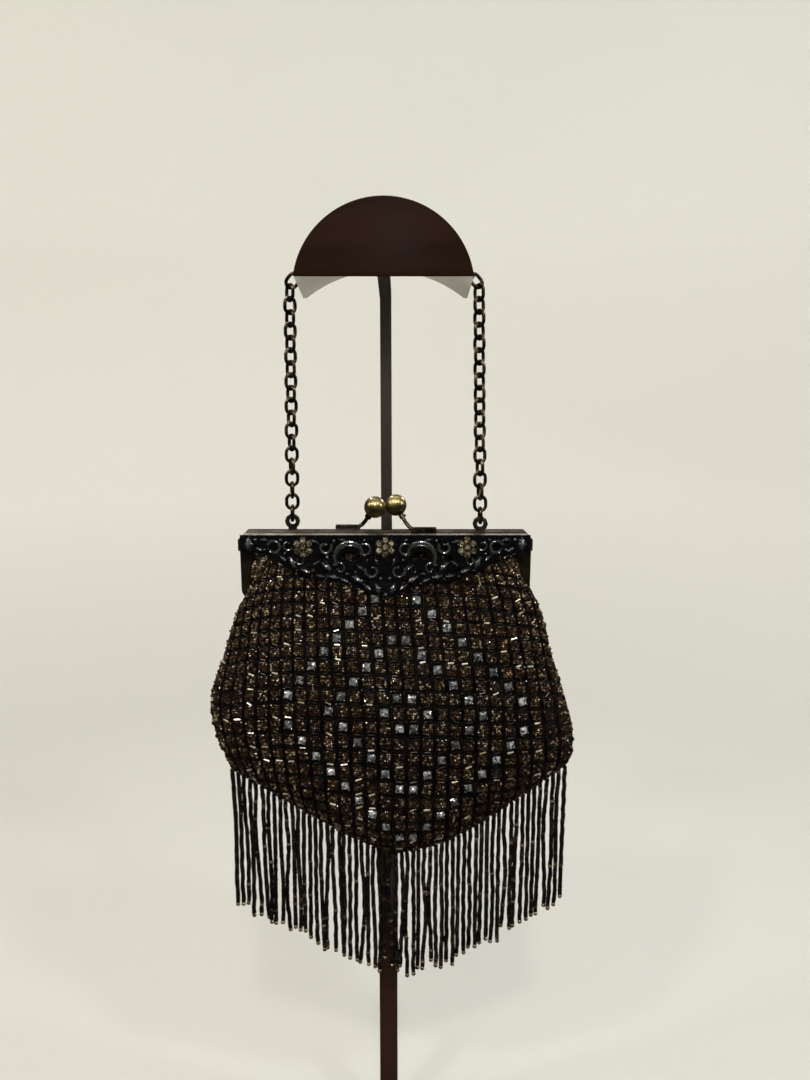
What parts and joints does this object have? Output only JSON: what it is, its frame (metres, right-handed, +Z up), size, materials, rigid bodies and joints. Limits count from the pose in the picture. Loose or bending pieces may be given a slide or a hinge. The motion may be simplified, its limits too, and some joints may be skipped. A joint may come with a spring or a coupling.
{
  "type": "beaded evening purse on a display stand",
  "caption": "Hollow beaded evening purse with a kiss-lock frame, pierced floral ornament, chain handle and bead fringe, hung on a bent-bar display stand.",
  "frame": {"origin": "middle of the underside of the stand's base, on the surface that it stands on", "axes": "+Z up, -Y towards the viewer of the ornamented front, +X to that viewer's right"},
  "size_m": [0.1984, 0.14, 0.5623],
  "materials": {
    "stand_paint": "satin dark brown, faintly brushed",
    "aged_bronze": "dark antique bronze, worn brighter on edges",
    "aged_brass": "polished antique brass",
    "gunmetal": "black cast relief, glossy on the high spots",
    "crystal": "clear cut stones with foil backs",
    "beaded_cloth": "dark brown cloth covered in bugle and seed beads",
    "fringe_beads": "glossy faceted dark seed beads"
  },
  "bodies": {
    "root": {"stand_base": "stand_paint", "stand_tube": "stand_paint", "stand_bar": "stand_paint", "saddle": "stand_paint", "chain": "aged_bronze", "frame_front": "aged_bronze", "frame_back": "aged_bronze", "hinge_rivet_left": "aged_bronze", "hinge_rivet_right": "aged_bronze", "clasp_arm_left": "aged_bronze", "clasp_arm_right": "aged_bronze", "clasp_ball_left": "aged_brass", "clasp_ball_right": "aged_brass", "ornament": "gunmetal", "flower_left": "crystal", "flower_centre": "crystal", "flower_right": "crystal", "bag_front": "beaded_cloth", "bag_back": "beaded_cloth", "fringe": "fringe_beads"}
  },
  "joints": []
}
